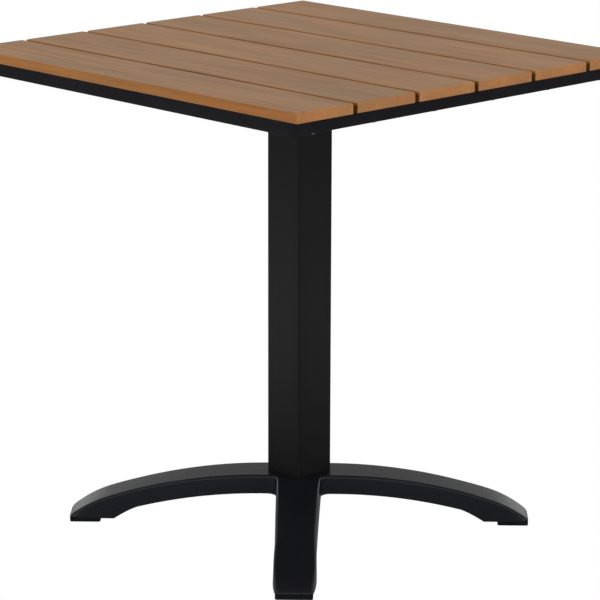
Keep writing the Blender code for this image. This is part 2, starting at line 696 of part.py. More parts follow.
make_slats()
make_frame()
make_crossbars()
make_plate()
make_column()
make_base()
for foot, arm in enumerate(range(4), start=1):
    make_pad(foot, arm)
    make_foot_screw(foot, arm)
make_slat_screws()
make_bolts()
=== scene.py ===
"""Looks of the bistro table, built on its CAD frame.

Every piece stands for one CAD node, at the place that the node's box gives. The shapes follow
the CAD with finer rounding, threads and drive recesses, and every material is made of nodes.
Lengths are in metres, written as millimetres times MM. The slats run along X.
"""
import math

import bmesh
import bpy
from mathutils import Matrix, Vector


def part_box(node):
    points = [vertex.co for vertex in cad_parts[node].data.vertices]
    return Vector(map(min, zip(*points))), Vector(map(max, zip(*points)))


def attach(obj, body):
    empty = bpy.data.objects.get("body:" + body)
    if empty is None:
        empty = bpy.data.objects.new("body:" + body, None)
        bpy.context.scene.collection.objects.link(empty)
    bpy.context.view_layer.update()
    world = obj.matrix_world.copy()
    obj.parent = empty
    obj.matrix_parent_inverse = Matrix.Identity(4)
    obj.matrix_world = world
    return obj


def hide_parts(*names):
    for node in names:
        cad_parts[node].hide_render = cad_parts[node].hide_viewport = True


MM = 0.001
TABLE_BODY = "table"
CORNERS = ((1, 1), (-1, 1), (-1, -1), (1, -1))

# Meshes
ROUND_STEPS = 32
CORNER_STEPS = 8
SMALL_EDGE_STEPS = 2
HEXAGON = 6
CLEARANCE = 0.3 * MM
OVERLAP = 1 * MM
SHARP_ANGLE = 35
MERGE_DISTANCE = 0.01 * MM

# Top. Each face of a slat has its name, colour, specular level and grain contrast. The colours
# hold painted light: the top is paler and greyer for painted sheen and light from above, and the
# ends are lighter for the light that falls on them; the sides have the wood's own colour.
SLAT_TINTS = (1.0, 0.96, 1.03, 0.98, 1.02, 0.97)
SLAT_COUNT = len(SLAT_TINTS)
SLAT_EDGE_RADIUS = 3 * MM
SLAT_EDGE_STEPS = 6
SLAT_FACES = (
    ("top", (0.45, 0.22, 0.076), 1.0, 1.0),
    ("side", (0.34, 0.132, 0.025), 0.35, 1.0),
    ("end", (0.43, 0.172, 0.036), 0.7, 0.35),
    ("gap", (0.34, 0.132, 0.025), 0.2, 1.0),
)
SLAT_FACE_SLOPE = 0.7
# Painted shade on the faces between the slats: darker below the top, for the shadow in the gaps.
GAP_SHADE = 0.3
GAP_SHADE_START = 2 * MM
GAP_SHADE_DEPTH = 6 * MM
RAIL_WIDTH = 25 * MM
RAIL_EDGE_RADIUS = 1.5 * MM
RAIL_EDGE_STEPS = 4
FRAME_CORNER_RADIUS = 10 * MM
FRAME_CORNER_STEPS = 8
DRAIN_RADIUS = 3 * MM
DRAIN_STEPS = 20
DRAIN_DEPTH = 6 * MM
DRAIN_INSET = 80 * MM
PLATE_CORNER_RADIUS = 15 * MM
PLATE_EDGE_RADIUS = 0.5 * MM

# Column
COLUMN_CORNER_RADIUS = 4 * MM
PORT_OFFSET = 25 * MM

# Base casting
ARM_ANGLE = 45
ARM_HALF_WIDTH_AT_HUB = 35.5 * MM
ARM_HALF_WIDTH_AT_HEEL = 30.9 * MM
FOOT_FLARE = 0.9 * MM
ARM_REACH = 354 * MM
ARM_DEPTH = 29.2 * MM
ARM_EDGE_RADIUS = 4 * MM
TIP_EDGE_RADIUS = 1.6 * MM
TIP_CORNER_RADIUS = 8 * MM
UNDER_EDGE_RADIUS = 0.8 * MM
TOE_START = 300 * MM
TOE_RADIUS = 320 * MM
ARM_FILLET_RADIUS = 16 * MM
WALL_DRAFT = 1 * MM
SEAT_REACH = 54 * MM
ARCH_RADIUS = 780 * MM
NOSE_START = 292 * MM
NOSE_RADIUS = 190 * MM
HEEL_START = 245 * MM
HEEL_END = 285 * MM
HEEL_CURVE = 1.3
CASTING_WALL = 5 * MM
RIB_THICKNESS = 4.5 * MM
POCKET_SPANS = ((56 * MM, 118 * MM), (123 * MM, 187 * MM), (192 * MM, 254 * MM))
POCKET_ROOF_STEPS = 10
HUB_BOSS_DEPTH = 18 * MM
HUB_CORE_RADIUS = 15 * MM
SEAT_RADIUS = 9 * MM
FOOT_BORE_RADIUS = 4.3 * MM
FOOT_BORE_DEPTH = 14 * MM
PEG_HOLE_DEPTH = 11 * MM
FILLET_STEPS = 10
SIDE_STEPS = (30, 12, 6, 16)
EDGE_STEPS = 7
UNDER_STEPS = 2

# Feet
TIP_UNDERSIDE = 7 * MM
PAD_LENGTH = 47 * MM
PAD_WIDTH = 54.8 * MM
PAD_HEIGHT = 6.7 * MM
PAD_CORNER_RADIUS = 3 * MM
PAD_EDGE_RADIUS = 0.5 * MM
PAD_REACH = 330 * MM
PAD_FLOOR = 1.6 * MM
PEG_RADIUS = 3 * MM
PEG_OFFSET = 17 * MM
PEG_LENGTH = 10 * MM
PEG_CHAMFER = 0.6 * MM
FOOT_KEY_RADIUS = 3 * MM
FOOT_NECK_RADIUS = 6 * MM
FOOT_HEAD_RADIUS = 7 * MM
FOOT_HEAD_TOP = PAD_HEIGHT - 1.4 * MM
CHAMBER_TOP = PAD_HEIGHT - 1.1 * MM
FOOT_SCREW_RADIUS = 4 * MM
FOOT_SOCKET_RADIUS = 2.3 * MM
FOOT_SOCKET_DEPTH = 2.5 * MM

# Threads. The crest's start and end are shares of the pitch.
THREAD_PITCH = 1.25 * MM
THREAD_DEPTH = 0.55 * MM
THREAD_CREST = (0.45, 0.55)
THREAD_NECK = 1 * MM

# Fasteners. Each point of the pan head is a share of its radius and a height. Turns are in degrees.
SLAT_SCREW_RADIUS = 2 * MM
SLAT_SCREW_POINT = 3 * MM
SLAT_SCREW_ROWS = 4
SLAT_SCREW_TURNS = (37, 61)
PAN_HEAD_RADIUS = 4.5 * MM
PAN_HEAD_HEIGHT = 2.8 * MM
PAN_HEAD = ((1, 1.6 * MM), (0.93, 0.8 * MM), (0.72, 0.25 * MM), (0.4, 0), (0, 0))
CROSS_SIZE = (2.4 * MM, 0.55 * MM)
CROSS_DEPTH = 1.8 * MM
BOLT_COUNT = 4
BOLT_TURN = 23
BOLT_RADIUS = 4 * MM
BOLT_HEAD_RADIUS = 7 * MM
BOLT_HEAD_HEIGHT = 5 * MM
BOLT_HEAD_CHAMFER = 0.6 * MM
BOLT_SOCKET_RADIUS = 3.4 * MM
BOLT_SOCKET_DEPTH = 3 * MM
SCREW_EDGE = 0.3 * MM

# Camera, with its angles in degrees
CAMERA_AZIMUTH = 46.12
CAMERA_PITCH = 14.80
CAMERA_ROLL = 0.15
CAMERA_DISTANCE = 4135.65 * MM
CAMERA_LENS = 163.33
SENSOR_WIDTH = 36
AIM_HEIGHT = 349.51 * MM
AIM_RIGHT = 0.70 * MM
FLOOR_DROP = 7 * MM

# Light, in stops of position and shade. The sky is brightest on the camera's side of the table,
# and the floor at the camera's left.
FLOOR_REACH = 15
FLOOR_POOL_RADIUS = 5.0
FLOOR_POOL = ((0.0, 0.26), (0.1, 0.3), (0.22, 1.0), (0.32, 0.95), (0.45, 0.2), (1.0, 0.06))
FLOOR_GLOW_AXIS = (0.7, 0.7, 0)
FLOOR_GLOW_LEFT = 0.6
FLOOR_GLOW_RIGHT = 0.25
SKY_FRONT = 3.9
SKY_BACK = 1.5
SKY_BANDS = (
    (0.0, 0.05), (0.48, 0.15), (0.5, 1.0), (0.56, 0.6), (0.63, 0.165), (0.7, 0.22), (0.85, 0.23),
    (1.0, 0.19),
)

# Wood, in stops of position and colour that multiply the colour of the slat's face
GRAIN_STOPS = (0.3, 0.5, 0.72)
GRAIN_DARK = 0.26
GRAIN_LIGHT = 0.2
FIGURE_SHADES = ((0.3, (0.86, 0.85, 0.83)), (0.7, (1.1, 1.1, 1.1)))
PATCH_SHADES = ((0.35, (1.05, 0.98, 0.9)), (0.65, (0.96, 1.01, 1.08)))
SLAT_SHIFT = (1.7, 0.61)

# Noises of the materials: stretch along X, Y and Z, scale, detail and roughness
EVEN = (1, 1, 1)
GRAIN_NOISE = ((2.5, 90, 90), 2.2, 6, 0.62)
FIGURE_NOISE = ((1.4, 11, 11), 2.0, 3)
PATCH_NOISE = ((3.0, 6.5, 6.5), 1.6, 2)
PEEL_NOISE = (EVEN, 900, 2)
CLOUD_NOISE = (EVEN, 9, 3)
DIE_LINE_NOISE = ((260, 260, 1.2), 1, 3)
GRIT_NOISE = (EVEN, 1400, 2)
SCUFF_NOISE = (EVEN, 60, 4)
MOTTLE_NOISE = (EVEN, 240, 3)

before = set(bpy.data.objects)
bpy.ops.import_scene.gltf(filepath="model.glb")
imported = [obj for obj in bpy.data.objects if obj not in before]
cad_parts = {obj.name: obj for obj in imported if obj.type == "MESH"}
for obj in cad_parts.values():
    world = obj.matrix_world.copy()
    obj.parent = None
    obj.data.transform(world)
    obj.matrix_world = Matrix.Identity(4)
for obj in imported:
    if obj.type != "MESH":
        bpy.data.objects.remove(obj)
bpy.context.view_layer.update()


# Material nodes

def new_material(name, color, roughness, specular=0.5, metallic=0.0):
    """Make a Principled material and return it with its node tree and its shader."""
    material = bpy.data.materials.new(name)
    material.use_nodes = True
    tree = material.node_tree
    shader = tree.nodes["Principled BSDF"]
    shader.inputs["Base Color"].default_value = (*color, 1)
    shader.inputs["Roughness"].default_value = roughness
    shader.inputs["Specular IOR Level"].default_value = specular
    shader.inputs["Metallic"].default_value = metallic
    return material, tree, shader


def stretched_noise(tree, shift, stretch, scale, detail=4, roughness=0.55):
    """Add a noise texture whose space is shifted and stretched, and return its value."""
    coordinates = tree.nodes.new("ShaderNodeTexCoord")
    mapping = tree.nodes.new("ShaderNodeMapping")
    mapping.inputs["Location"].default_value = shift
    mapping.inputs["Scale"].default_value = stretch
    noise = tree.nodes.new("ShaderNodeTexNoise")
    noise.inputs["Scale"].default_value = scale
    noise.inputs["Detail"].default_value = detail
    noise.inputs["Roughness"].default_value = roughness
    tree.links.new(coordinates.outputs["Object"], mapping.inputs["Vector"])
    tree.links.new(mapping.outputs["Vector"], noise.inputs["Vector"])
    return noise.outputs["Fac"]


def ramp(tree, value, stops):
    """Turn a value into a colour with a ramp of (position, colour) stops."""
    node = tree.nodes.new("ShaderNodeValToRGB")
    elements = node.color_ramp.elements
    for element, (position, color) in zip(elements, (stops[0], stops[-1])):
        element.position = position
        element.color = (*color, 1)
    for position, color in stops[1:-1]:
        elements.new(position).color = (*color, 1)
    tree.links.new(value, node.inputs["Fac"])
    return node.outputs["Color"]


def greys(stops):
    """Turn stops of (position, shade) into stops of (position, colour)."""
    return [(position, (shade,) * 3) for position, shade in stops]


def spread(tree, value, low, high, low_in=0.3, high_in=0.7):
    """Map a value from one range, by default the middle of a noise, to another range."""
    node = tree.nodes.new("ShaderNodeMapRange")
    node.inputs["From Min"].default_value = low_in
    node.inputs["From Max"].default_value = high_in
    node.inputs["To Min"].default_value = low
    node.inputs["To Max"].default_value = high
    tree.links.new(value, node.inputs["Value"])
    return node.outputs["Result"]


def multiplied(tree, first, second):
    """Multiply two colours."""
    node = tree.nodes.new("ShaderNodeMix")
    node.data_type = "RGBA"
    node.blend_type = "MULTIPLY"
    node.inputs["Factor"].default_value = 1
    tree.links.new(first, node.inputs["A"])
    tree.links.new(second, node.inputs["B"])
    return node.outputs["Result"]


def shaded(tree, shader, value, color, shades, stops=(0.35, 0.65)):
    """Vary the shader's base colour between two shades of a colour, along a value."""
    ends = [(stop, tuple(c * shade for c in color)) for stop, shade in zip(stops, shades)]
    tree.links.new(ramp(tree, value, ends), shader.inputs["Base Color"])


def bump(tree, shader, height, distance, strength):
    """Give the shader a bump from a height value."""
    node = tree.nodes.new("ShaderNodeBump")
    node.inputs["Distance"].default_value = distance
    node.inputs["Strength"].default_value = strength
    tree.links.new(height, node.inputs["Height"])
    tree.links.new(node.outputs["Normal"], shader.inputs["Normal"])


def painted_gap_shade(tree):
    """Return painted shade for the faces between the slats, darker below the top."""
    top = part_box("slat_1")[1].z
    depths = (top - GAP_SHADE_DEPTH, top - GAP_SHADE_START)
    coordinates = tree.nodes.new("ShaderNodeTexCoord")
    parts = tree.nodes.new("ShaderNodeSeparateXYZ")
    tree.links.new(coordinates.outputs["Object"], parts.inputs["Vector"])
    return spread(tree, parts.outputs["Z"], GAP_SHADE, 1, *depths)


def wood_look(number, face, wood_and_painted_light, specular, contrast):
    """Make the wood look of one face of a slat: brushed grain along X.

    Each slat has its own tint and its own stretch of grain. The colour of each face holds
    painted light: paler on the top for sheen, lighter at the ends.
    """
    color = tuple(channel * SLAT_TINTS[number - 1] for channel in wood_and_painted_light)
    material, tree, shader = new_material(f"wood_look_{number}_{face}", color, 0.5, specular)
    shift = (SLAT_SHIFT[0] * number, SLAT_SHIFT[1] * number, 0)
    grain = stretched_noise(tree, shift, *GRAIN_NOISE)
    figure = stretched_noise(tree, shift, *FIGURE_NOISE)
    patches = stretched_noise(tree, shift, *PATCH_NOISE)
    tones = (1 - GRAIN_DARK * contrast, 1, 1 + GRAIN_LIGHT * contrast)
    shades = [tuple(c * tone for c in color) for tone in tones]
    wooden = ramp(tree, grain, list(zip(GRAIN_STOPS, shades)))
    wooden = multiplied(tree, wooden, ramp(tree, figure, FIGURE_SHADES))
    wooden = multiplied(tree, wooden, ramp(tree, patches, PATCH_SHADES))
    # The faces between the slats take painted shade, darker below the top.
    if face == "gap":
        wooden = multiplied(tree, wooden, painted_gap_shade(tree))
    tree.links.new(wooden, shader.inputs["Base Color"])
    tree.links.new(spread(tree, grain, 0.6, 0.46), shader.inputs["Roughness"])
    bump(tree, shader, grain, distance=0.5 * MM, strength=0.35)
    return material


def powder_coat(name, color, roughness, specular, orange_peel):
    """Make a black powder coat: a fine orange peel, and a faint unevenness in its gloss."""
    material, tree, shader = new_material(name, color, roughness, specular)
    peel = stretched_noise(tree, (0, 0, 0), *PEEL_NOISE)
    clouds = stretched_noise(tree, (3, 1, 2), *CLOUD_NOISE)
    shaded(tree, shader, clouds, color, shades=(0.86, 1.14))
    gloss = spread(tree, clouds, roughness + 0.04, roughness - 0.04)
    tree.links.new(gloss, shader.inputs["Roughness"])
    bump(tree, shader, peel, distance=0.12 * MM, strength=orange_peel)
    return material


def extruded_coat(name, color, roughness, specular):
    """Make the column's coat: die lines of the extrusion run down it under the powder."""
    material, tree, shader = new_material(name, color, roughness, specular)
    lines = stretched_noise(tree, (0, 0, 0), *DIE_LINE_NOISE)
    shaded(tree, shader, lines, color, shades=(0.85, 1.15))
    gloss = spread(tree, lines, roughness + 0.05, roughness - 0.05)
    tree.links.new(gloss, shader.inputs["Roughness"])
    bump(tree, shader, lines, distance=0.05 * MM, strength=0.25)
    return material


def moulded_plastic(name, color):
    """Make the pads' black plastic, with a spark-eroded texture and faint scuffs."""
    material, tree, shader = new_material(name, color, roughness=0.55, specular=0.1)
    grit = stretched_noise(tree, (0, 0, 0), *GRIT_NOISE)
    tree.links.new(spread(tree, grit, 0.62, 0.48), shader.inputs["Roughness"])
    scuffs = stretched_noise(tree, (0, 0, 0), *SCUFF_NOISE)
    shaded(tree, shader, scuffs, color, shades=(0.8, 1.5), stops=(0.4, 0.75))
    bump(tree, shader, grit, distance=0.1 * MM, strength=0.4)
    return material


def zinc_plate(name, tone):
    """Make the screws' zinc-plated steel, slightly mottled."""
    color = (tone, tone, 1.03 * tone)
    material, tree, shader = new_material(name, color, roughness=0.34, metallic=1.0)
    mottle = stretched_noise(tree, (0, 0, 0), *MOTTLE_NOISE)
    shaded(tree, shader, mottle, color, shades=(0.8, 1.12))
    tree.links.new(spread(tree, mottle, 0.42, 0.28), shader.inputs["Roughness"])
    return material


FRAME_COAT = powder_coat(
    "frame_powder_coat", (0.0075, 0.0078, 0.0095), roughness=0.5, specular=0.08, orange_peel=0.3,
)
COLUMN_COAT = extruded_coat(
    "column_powder_coat", (0.0055, 0.0056, 0.0064), roughness=0.36, specular=0.13,
)
CAST_COAT = powder_coat(
    "cast_powder_coat", (0.0092, 0.01, 0.0138), roughness=0.25, specular=0.2, orange_peel=0.35,
)
PAD_PLASTIC = moulded_plastic("pad_plastic", (0.006, 0.0067, 0.0076))
ZINC = zinc_plate("zinc_plate", tone=0.5)
BLACK_ZINC = zinc_plate("black_zinc_plate", tone=0.03)


# Meshes

def mesh_from(fill):
    """Make a mesh with a function that fills a BMesh, its faces turned outwards."""
    bm = bmesh.new()
    fill(bm)
    bmesh.ops.recalc_face_normals(bm, faces=bm.faces)
    mesh = bpy.data.meshes.new("shape")
    bm.to_mesh(mesh)
    bm.free()
    return mesh


def add_box(bm, low, high):
    """Add a box between two corners and return its edges."""
    low, high = Vector(low), Vector(high)
    matrix = Matrix.Translation((low + high) / 2) @ Matrix.Diagonal((*(high - low), 1))
    corners = bmesh.ops.create_cube(bm, size=1, matrix=matrix)["verts"]
    return list({edge for corner in corners for edge in corner.link_edges})


def add_prism(bm, outline, bottom, top):
    """Add an upright prism on an outline and return the edges of its two ends."""
    lower = [bm.verts.new((x, y, bottom)) for x, y in outline]
    upper = [bm.verts.new((x, y, top)) for x, y in outline]
    count = len(outline)
    for here in range(count):
        after = (here + 1) % count
        bm.faces.new((lower[here], lower[after], upper[after], upper[here]))
    ends = [bm.faces.new(lower[::-1]), bm.faces.new(upper)]
    return [edge for end in ends for edge in end.edges]


def round_edges(bm, edges, radius, steps):
    """Round edges with a bevel."""
    bmesh.ops.bevel(
        bm, geom=edges, offset=radius, segments=steps, profile=0.5, affect="EDGES",
        clamp_overlap=True,
    )


def arc(centre, radius, start, end, steps):
    """Return the points of an arc between two angles in degrees."""
    points = []
    for step in range(steps + 1):
        angle = math.radians(start + (end - start) * step / steps)
        points.append((centre[0] + radius * math.cos(angle), centre[1] + radius * math.sin(angle)))
    return points


def circle(radius, steps=ROUND_STEPS, centre=(0, 0)):
    """Return the points of a circle."""
    return arc(centre, radius, 0, 360, steps)[:-1]


def rounded_rectangle(length, width, radius, steps=CORNER_STEPS):
    """Return the outline of a rectangle with round corners, centred on the origin."""
    points = []
    for turn, (sx, sy) in enumerate(CORNERS):
        centre = (sx * (length / 2 - radius), sy * (width / 2 - radius))
        points += arc(centre, radius, 90 * turn, 90 * turn + 90, steps)
    return points


def add_turned(bm, profile, steps=ROUND_STEPS, centre=(0, 0)):
    """Add a closed round shape: the profile of (radius, height) runs from axis to axis."""
    rings = []
    for radius, height in profile:
        if radius == 0:
            rings.append([bm.verts.new((*centre, height))] * steps)
        else:
            ring = circle(radius, steps, centre)
            rings.append([bm.verts.new((x, y, height)) for x, y in ring])
    for upper, lower in zip(rings, rings[1:]):
        for here in range(steps):
            after = (here + 1) % steps
            corners = (upper[here], upper[after], lower[after], lower[here])
            bm.faces.new(list(dict.fromkeys(corners)))


def subtract(mesh, cutter_mesh):
    """Return a mesh with another one cut out of it."""
    obj = bpy.data.objects.new("uncut", mesh)
    cutter = bpy.data.objects.new("cutter", cutter_mesh)
    for each in (obj, cutter):
        bpy.context.scene.collection.objects.link(each)
    boolean = obj.modifiers.new("cut", "BOOLEAN")
    boolean.operation = "DIFFERENCE"
    boolean.object = cutter
    evaluated = obj.evaluated_get(bpy.context.evaluated_depsgraph_get())
    result = bpy.data.meshes.new_from_object(evaluated)
    bpy.data.objects.remove(obj, do_unlink=True)
    bpy.data.objects.remove(cutter, do_unlink=True)
    return result


def add_piece(name, mesh, material, nodes, body=TABLE_BODY):
    """Show a mesh in place of its CAD nodes, riding on a body."""
    obj = bpy.data.objects.new(name, mesh)
    bpy.context.scene.collection.objects.link(obj)
    mesh.materials.clear()
    mesh.materials.append(material)
    mesh.shade_smooth()
    mesh.set_sharp_from_angle(angle=math.radians(SHARP_ANGLE))
    weighted = obj.modifiers.new("normals", "WEIGHTED_NORMAL")
    weighted.keep_sharp = True
    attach(obj, body)
    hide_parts(*nodes)
    return obj


# Top

def make_slats():
    """Make the boards of the top, rounded above and at the corners, with a look for each face."""
    names = [name for name, *_ in SLAT_FACES]
    for number in range(1, SLAT_COUNT + 1):
        low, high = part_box(f"slat_{number}")

        def fill(bm, low=low, high=high):
            edges = add_box(bm, low, high)
            upper = [e for e in edges if max(v.co.z for v in e.verts) > high.z - MM]
            upper_loop = [e for e in upper if min(v.co.z for v in e.verts) > high.z - MM]
            upright = [e for e in upper if e not in upper_loop]
            round_edges(bm, upper_loop + upright, SLAT_EDGE_RADIUS, SLAT_EDGE_STEPS)

        looks = [wood_look(number, *face) for face in SLAT_FACES]
        board = add_piece(f"board_{number}", mesh_from(fill), looks[0], [f"slat_{number}"])
        for look in looks[1:]:
            board.data.materials.append(look)
        outer = {1: -1, SLAT_COUNT: 1}.get(number, 0)
        # Faces by direction: top and ends take colours with painted light, gaps take painted shade.
        for face in board.data.polygons:
            if abs(face.normal.x) > SLAT_FACE_SLOPE:
                name = "end"
            elif face.normal.z >= SLAT_FACE_SLOPE:
                name = "top"
            else:
                name = "side" if face.normal.y * outer > SLAT_FACE_SLOPE else "gap"
            face.material_index = names.index(name)


def rail_profile(height):
    """Return the rail's section as (depth behind the outer face, height) with round edges."""
    section = rounded_rectangle(RAIL_WIDTH, height, RAIL_EDGE_RADIUS, RAIL_EDGE_STEPS)
    return [(depth + RAIL_WIDTH / 2, up + height / 2) for depth, up in section]


def add_rail(bm, length, bottom, height, turn):
    """Add a rail from mitre to mitre, with the round outer corners of the frame at its ends."""
    radius = FRAME_CORNER_RADIUS
    stations = []
    for side in (-1, 1):
        angles = [225 + 45 * step / FRAME_CORNER_STEPS for step in range(FRAME_CORNER_STEPS + 1)]
        for angle in angles if side < 0 else reversed(angles):
            stations.append((side, math.radians(angle)))
    rings = []
    for side, angle in stations:
        ring = []
        for depth, up in rail_profile(height):
            if depth < radius:
                x = (radius - depth) * math.cos(angle) + radius - length / 2
                y = radius + (radius - depth) * math.sin(angle)
            else:
                x, y = depth - length / 2, depth
            place = turn @ Vector((-side * x, y, bottom + up))
            ring.append(bm.verts.new(place))
        rings.append(ring)
    count = len(rings[0])
    for first, second in zip(rings, rings[1:]):
        for here in range(count):
            after = (here + 1) % count
            bm.faces.new((first[here], first[after], second[after], second[here]))
    bm.faces.new(rings[0])
    bm.faces.new(rings[-1][::-1])
    bmesh.ops.remove_doubles(bm, verts=bm.verts, dist=MERGE_DISTANCE)


def make_frame():
    """Make the four mitred rails, ground flush at the welded corners, with drain holes below."""
    low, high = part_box("side_rail_front")
    left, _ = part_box("end_rail_left")
    bottom, height = low.z, high.z - low.z
    length, width = -2 * left.x, -2 * low.y
    rails = (
        ("side_rail_front", length, width / 2, 0), ("end_rail_right", width, length / 2, 90),
        ("side_rail_back", length, width / 2, 180), ("end_rail_left", width, length / 2, -90),
    )
    for name, span, distance, angle in rails:
        turn = Matrix.Rotation(math.radians(angle), 4, "Z") @ Matrix.Translation((0, -distance, 0))
        rail = mesh_from(lambda bm: add_rail(bm, span, bottom, height, turn))

        def drains(bm):
            for x in (DRAIN_INSET - span / 2, span / 2 - DRAIN_INSET):
                place = (turn @ Vector((x, RAIL_WIDTH / 2, 0))).xy
                outline = circle(DRAIN_RADIUS, DRAIN_STEPS, place)
                add_prism(bm, outline, bottom - DRAIN_DEPTH, bottom + DRAIN_DEPTH)

        rail = subtract(rail, mesh_from(drains))
        add_piece(f"{name}_tube", rail, FRAME_COAT, [name])


def make_supports():
    """Make the crossbars and the mounting plate under the top."""
    for name in ("crossbar_right", "crossbar_left"):
        low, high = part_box(name)

        def bar(bm, low=low, high=high):
            edges = add_box(bm, low, high)
            along = [e for e in edges if abs(e.verts[0].co.y - e.verts[1].co.y) > MM]
            round_edges(bm, along, RAIL_EDGE_RADIUS, RAIL_EDGE_STEPS)

        add_piece(f"{name}_tube", mesh_from(bar), FRAME_COAT, [name])
    low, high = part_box("mounting_plate")

    def plate(bm):
        outline = rounded_rectangle(high.x - low.x, high.y - low.y, PLATE_CORNER_RADIUS)
        ends = add_prism(bm, outline, low.z, high.z)
        round_edges(bm, ends, PLATE_EDGE_RADIUS, SMALL_EDGE_STEPS)

    add_piece("top_plate", mesh_from(plate), FRAME_COAT, ["mounting_plate"])


def make_column():
    """Make the column."""
    low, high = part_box("column")

    def fill(bm):
        outline = rounded_rectangle(high.x - low.x, high.y - low.y, COLUMN_CORNER_RADIUS)
        add_prism(bm, outline, low.z, high.z)

    add_piece("column_tube", mesh_from(fill), COLUMN_COAT, ["column"])


# Base casting. An arm is worked out in its own frame: reach runs along it, side across it.

HUB_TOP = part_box("cross_base")[1].z


def crown_height(reach):
    """Return the height of the top of an arm: a flat seat, a long arch, then a rounder nose."""
    if reach <= SEAT_REACH:
        return HUB_TOP
    if reach <= NOSE_START:
        return HUB_TOP - ARCH_RADIUS + math.sqrt(ARCH_RADIUS ** 2 - (reach - SEAT_REACH) ** 2)
    slope = math.asin((NOSE_START - SEAT_REACH) / ARCH_RADIUS)
    centre_reach = NOSE_START - NOSE_RADIUS * math.sin(slope)
    centre_height = crown_height(NOSE_START) - NOSE_RADIUS * math.cos(slope)
    return centre_height + math.sqrt(NOSE_RADIUS ** 2 - (reach - centre_reach) ** 2)


def underside_height(reach):
    """Return the height of the underside: it follows the arch, then steps down to the foot."""
    if reach <= HEEL_START:
        return crown_height(reach) - ARM_DEPTH
    heel_top = crown_height(HEEL_START) - ARM_DEPTH
    along = min((reach - HEEL_START) / (HEEL_END - HEEL_START), 1)
    return heel_top + (TIP_UNDERSIDE - heel_top) * along ** HEEL_CURVE


def half_width(reach):
    """Return half the width of an arm: a taper to the heel, a slight flare, then a round toe."""
    taper = (ARM_HALF_WIDTH_AT_HUB - ARM_HALF_WIDTH_AT_HEEL) * min(reach / HEEL_START, 1)
    flare = FOOT_FLARE * min(max(reach - HEEL_START, 0) / (HEEL_END - HEEL_START), 1)
    along_toe = max(reach - TOE_START, 0)
    toe = TOE_RADIUS - math.sqrt(TOE_RADIUS ** 2 - along_toe ** 2)
    return ARM_HALF_WIDTH_AT_HUB - taper + flare - toe


def arm_outline():
    """Return half the plan of an arm, from the fillet at the hub to the corner of the tip.

    Each entry is a point of the outline, its outward normal and the radius of the edge there.
    """
    taper = (ARM_HALF_WIDTH_AT_HUB - ARM_HALF_WIDTH_AT_HEEL) / HEEL_START
    tilt = math.hypot(1, taper)
    lean = math.degrees(math.atan(taper))
    fillet = (half_width(0) - WALL_DRAFT + ARM_FILLET_RADIUS * tilt) / (1 + taper)
    corner_reach = ARM_REACH - WALL_DRAFT - TIP_CORNER_RADIUS
    corner = (corner_reach, half_width(corner_reach) - WALL_DRAFT - TIP_CORNER_RADIUS)
    entries = []
    for point in arc((fillet, fillet), ARM_FILLET_RADIUS, 225, 270 - lean, FILLET_STEPS):
        normal = (Vector((fillet, fillet)) - Vector(point)).normalized()
        entries.append((Vector(point), normal, ARM_EDGE_RADIUS))
    ends = (entries[-1][0].x, HEEL_START, HEEL_END, TOE_START, corner[0])
    stations = []
    for low, high, count in zip(ends, ends[1:], SIDE_STEPS):
        stations += [low + (high - low) * step / count for step in range(1, count + 1)]
    for reach in stations[:-1]:
        point = Vector((reach, half_width(reach) - WALL_DRAFT))
        entries.append((point, Vector((0, 1)), ARM_EDGE_RADIUS))
    for step, point in enumerate(arc(corner, TIP_CORNER_RADIUS, 90, 0, CORNER_STEPS)):
        normal = (Vector(point) - Vector(corner)).normalized()
        radius = ARM_EDGE_RADIUS + (TIP_EDGE_RADIUS - ARM_EDGE_RADIUS) * step / CORNER_STEPS
        entries.append((Vector(point), normal, radius))
    return entries


def section_column(point, normal, radius):
    """Return the outside of an arm below one outline point: round edge, wall, small round edge."""
    column = []
    for step in range(EDGE_STEPS + 1):
        angle = math.radians(90 * step / EDGE_STEPS)
        place = point - normal * radius * (1 - math.sin(angle))
        column.append((*place, crown_height(place.x) - radius * (1 - math.cos(angle))))
    for step in range(UNDER_STEPS + 1):
        angle = math.radians(90 * step / UNDER_STEPS)
        inset = UNDER_EDGE_RADIUS * (1 - math.cos(angle))
        lift = UNDER_EDGE_RADIUS * (1 - math.sin(angle))
        foot = point + normal * (WALL_DRAFT - inset)
        column.append((*foot, underside_height(foot.x) + lift))
    return column


def arm_to_world(reach, side, height):
    """Turn a point of the first arm into the table's frame: the arm lies between +X and +Y."""
    half = math.sqrt(0.5)
    x, y = (reach - side) * half, (reach + side) * half
    return Vector((0 if abs(x) < MERGE_DISTANCE else x, 0 if abs(y) < MERGE_DISTANCE else y, height))


def fill_arm(bm):
    """Build the arm between +X and +Y, open where it meets the planes X = 0 and Y = 0."""
    outline = arm_outline()
    columns = [section_column(*entry) for entry in outline]
    spine_top = []
    spine_bottom = []
    for number, column in enumerate(columns):
        share = min(number / FILLET_STEPS, 1)
        top_reach, bottom_reach = column[0][0] * share, column[-1][0] * share
        spine_top.append(bm.verts.new(arm_to_world(top_reach, 0, crown_height(top_reach))))
        bottom = arm_to_world(bottom_reach, 0, underside_height(bottom_reach))
        spine_bottom.append(bm.verts.new(bottom))
    tip_point, _, tip_radius = outline[-1]
    tip_column = section_column(Vector((tip_point.x, 0)), Vector((1, 0)), tip_radius)
    tip = [bm.verts.new(arm_to_world(*place)) for place in tip_column[1:-1]]
    tip = [spine_top[-1]] + tip + [spine_bottom[-1]]
    for side in (1, -1):
        edge = []
        for column in columns:
            places = [arm_to_world(reach, side * across, height) for reach, across, height in column]
            edge.append([bm.verts.new(place) for place in places])
        for left, right in zip(edge, edge[1:] + [tip]):
            for upper in range(len(left) - 1):
                bm.faces.new((left[upper], left[upper + 1], right[upper + 1], right[upper]))
        for near in range(len(columns) - 1):
            far = near + 1
            bm.faces.new((spine_top[near], spine_top[far], edge[far][0], edge[near][0]))
            bm.faces.new((spine_bottom[near], spine_bottom[far], edge[far][-1], edge[near][-1]))


